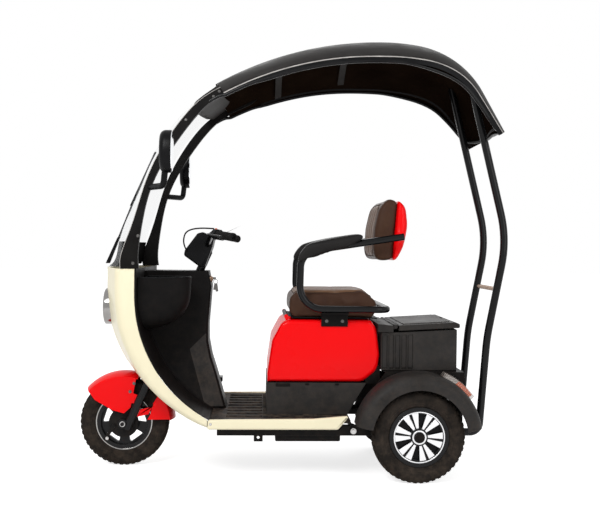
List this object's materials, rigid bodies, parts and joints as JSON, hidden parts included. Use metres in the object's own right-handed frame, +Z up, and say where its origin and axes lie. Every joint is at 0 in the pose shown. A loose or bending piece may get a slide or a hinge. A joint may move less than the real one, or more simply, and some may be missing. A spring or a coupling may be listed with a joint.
{
  "type": "electric mobility tricycle",
  "caption": "Seated electric tricycle with a single steered front wheel, leg shield, windscreen, canopy roof on posts, armchair seat and lidded trunk.",
  "frame": {"origin": "on the ground under the middle of the overall box", "axes": "+X towards the front wheel, +Y to the rider's left, +Z up"},
  "size_m": [1.764, 0.952, 1.7862],
  "materials": {
    "tyre_rubber": "matt tyre rubber",
    "grip_rubber": "moulded rubber",
    "rim_alloy": "black and silver alloy",
    "red_plastic": "glossy red moulding",
    "cream_plastic": "glossy ivory moulding",
    "black_plastic": "satin black moulding",
    "frame_steel": "black paint on steel tube",
    "bright_steel": "bare bright steel",
    "chrome": "plated ring",
    "clear_glass": "clear sheet",
    "lamp_glass": "clear lamp lens",
    "tail_lens": "clear and amber lamp lens",
    "mirror_black": "black mirror housing",
    "mirror_face": "mirror glass",
    "brown_leather": "brown synthetic leather",
    "black_leather": "black synthetic leather",
    "mat_rubber": "ribbed floor mat",
    "battery_case": "plain block"
  },
  "bodies": {
    "chassis": {"armrest_brackets": "frame_steel", "armrest_frame": "frame_steel", "armrest_pads": "black_leather", "backrest_cushion": "brown_leather", "backrest_shell": "red_plastic", "battery_block": "battery_case", "brake_pedal": "frame_steel", "floor_deck": "mat_rubber", "frame_beams": "frame_steel", "frame_rails": "frame_steel", "front_shield": "cream_plastic", "head_tube": "frame_steel", "headlight_bezel": "chrome", "headlight_lens": "lamp_glass", "leg_shield": "black_plastic", "mirror_glass": "mirror_face", "mirrors": "mirror_black", "pillars": "black_plastic", "rear_axle": "frame_steel", "rear_body": "black_plastic", "rear_dampers": "bright_steel", "rear_fenders": "black_plastic", "rear_post_crossbar": "frame_steel", "rear_posts": "frame_steel", "roof_canopy": "black_plastic", "roof_ribs": "black_plastic", "seat_box": "red_plastic", "seat_skirt": "black_plastic", "side_sills": "cream_plastic", "storage_pockets": "black_plastic", "tail_lights": "tail_lens", "trunk_box": "black_plastic", "trunk_front_cover": "black_plastic", "underfloor_box": "frame_steel", "windshield": "clear_glass", "windshield_header": "black_plastic", "windshield_lower_panel": "black_plastic", "wiper": "black_plastic"},
    "steering": {"fork": "frame_steel", "front_brake_plate": "bright_steel", "front_fender": "red_plastic", "handlebar": "frame_steel", "handlebar_cover": "black_plastic", "handlebar_grips": "grip_rubber", "switch_pods": "black_plastic", "brake_levers": "frame_steel", "brake_cable": "grip_rubber"},
    "front_wheel": {"front_tyre": "tyre_rubber", "front_rim": "rim_alloy"},
    "rear_wheel_left": {"rear_tyre_left": "tyre_rubber", "rear_rim_left": "rim_alloy"},
    "rear_wheel_right": {"rear_tyre_right": "tyre_rubber", "rear_rim_right": "rim_alloy"},
    "trunk_cover": {"trunk_lid": "black_plastic"},
    "seat": {"seat_pan": "black_plastic", "seat_cushion": "brown_leather"}
  },
  "joints": [
    {"name": "steering_turn", "type": "hinge", "parent": "chassis", "child": "steering", "pos_m": [0.672, 0, 0.185], "axis": [-0.4067, 0, 0.9135], "range_deg": [-38, 38]},
    {"name": "front_wheel_spin", "type": "hinge", "parent": "steering", "child": "front_wheel", "pos_m": [0.697, 0, 0.185], "axis": [0, 1, 0], "continuous": true},
    {"name": "rear_left_spin", "type": "hinge", "parent": "chassis", "child": "rear_wheel_left", "pos_m": [-0.495, 0.3, 0.185], "axis": [0, 1, 0], "continuous": true},
    {"name": "rear_right_spin", "type": "hinge", "parent": "chassis", "child": "rear_wheel_right", "pos_m": [-0.495, -0.3, 0.185], "axis": [0, 1, 0], "continuous": true},
    {"name": "trunk_lid_hinge", "type": "hinge", "parent": "chassis", "child": "trunk_cover", "pos_m": [-0.418, 0, 0.606], "axis": [0, 1, 0], "range_deg": [0, 72]},
    {"name": "seat_hinge", "type": "hinge", "parent": "chassis", "child": "seat", "pos_m": [0.026, 0, 0.642], "axis": [0, 1, 0], "range_deg": [0, 55]}
  ]
}
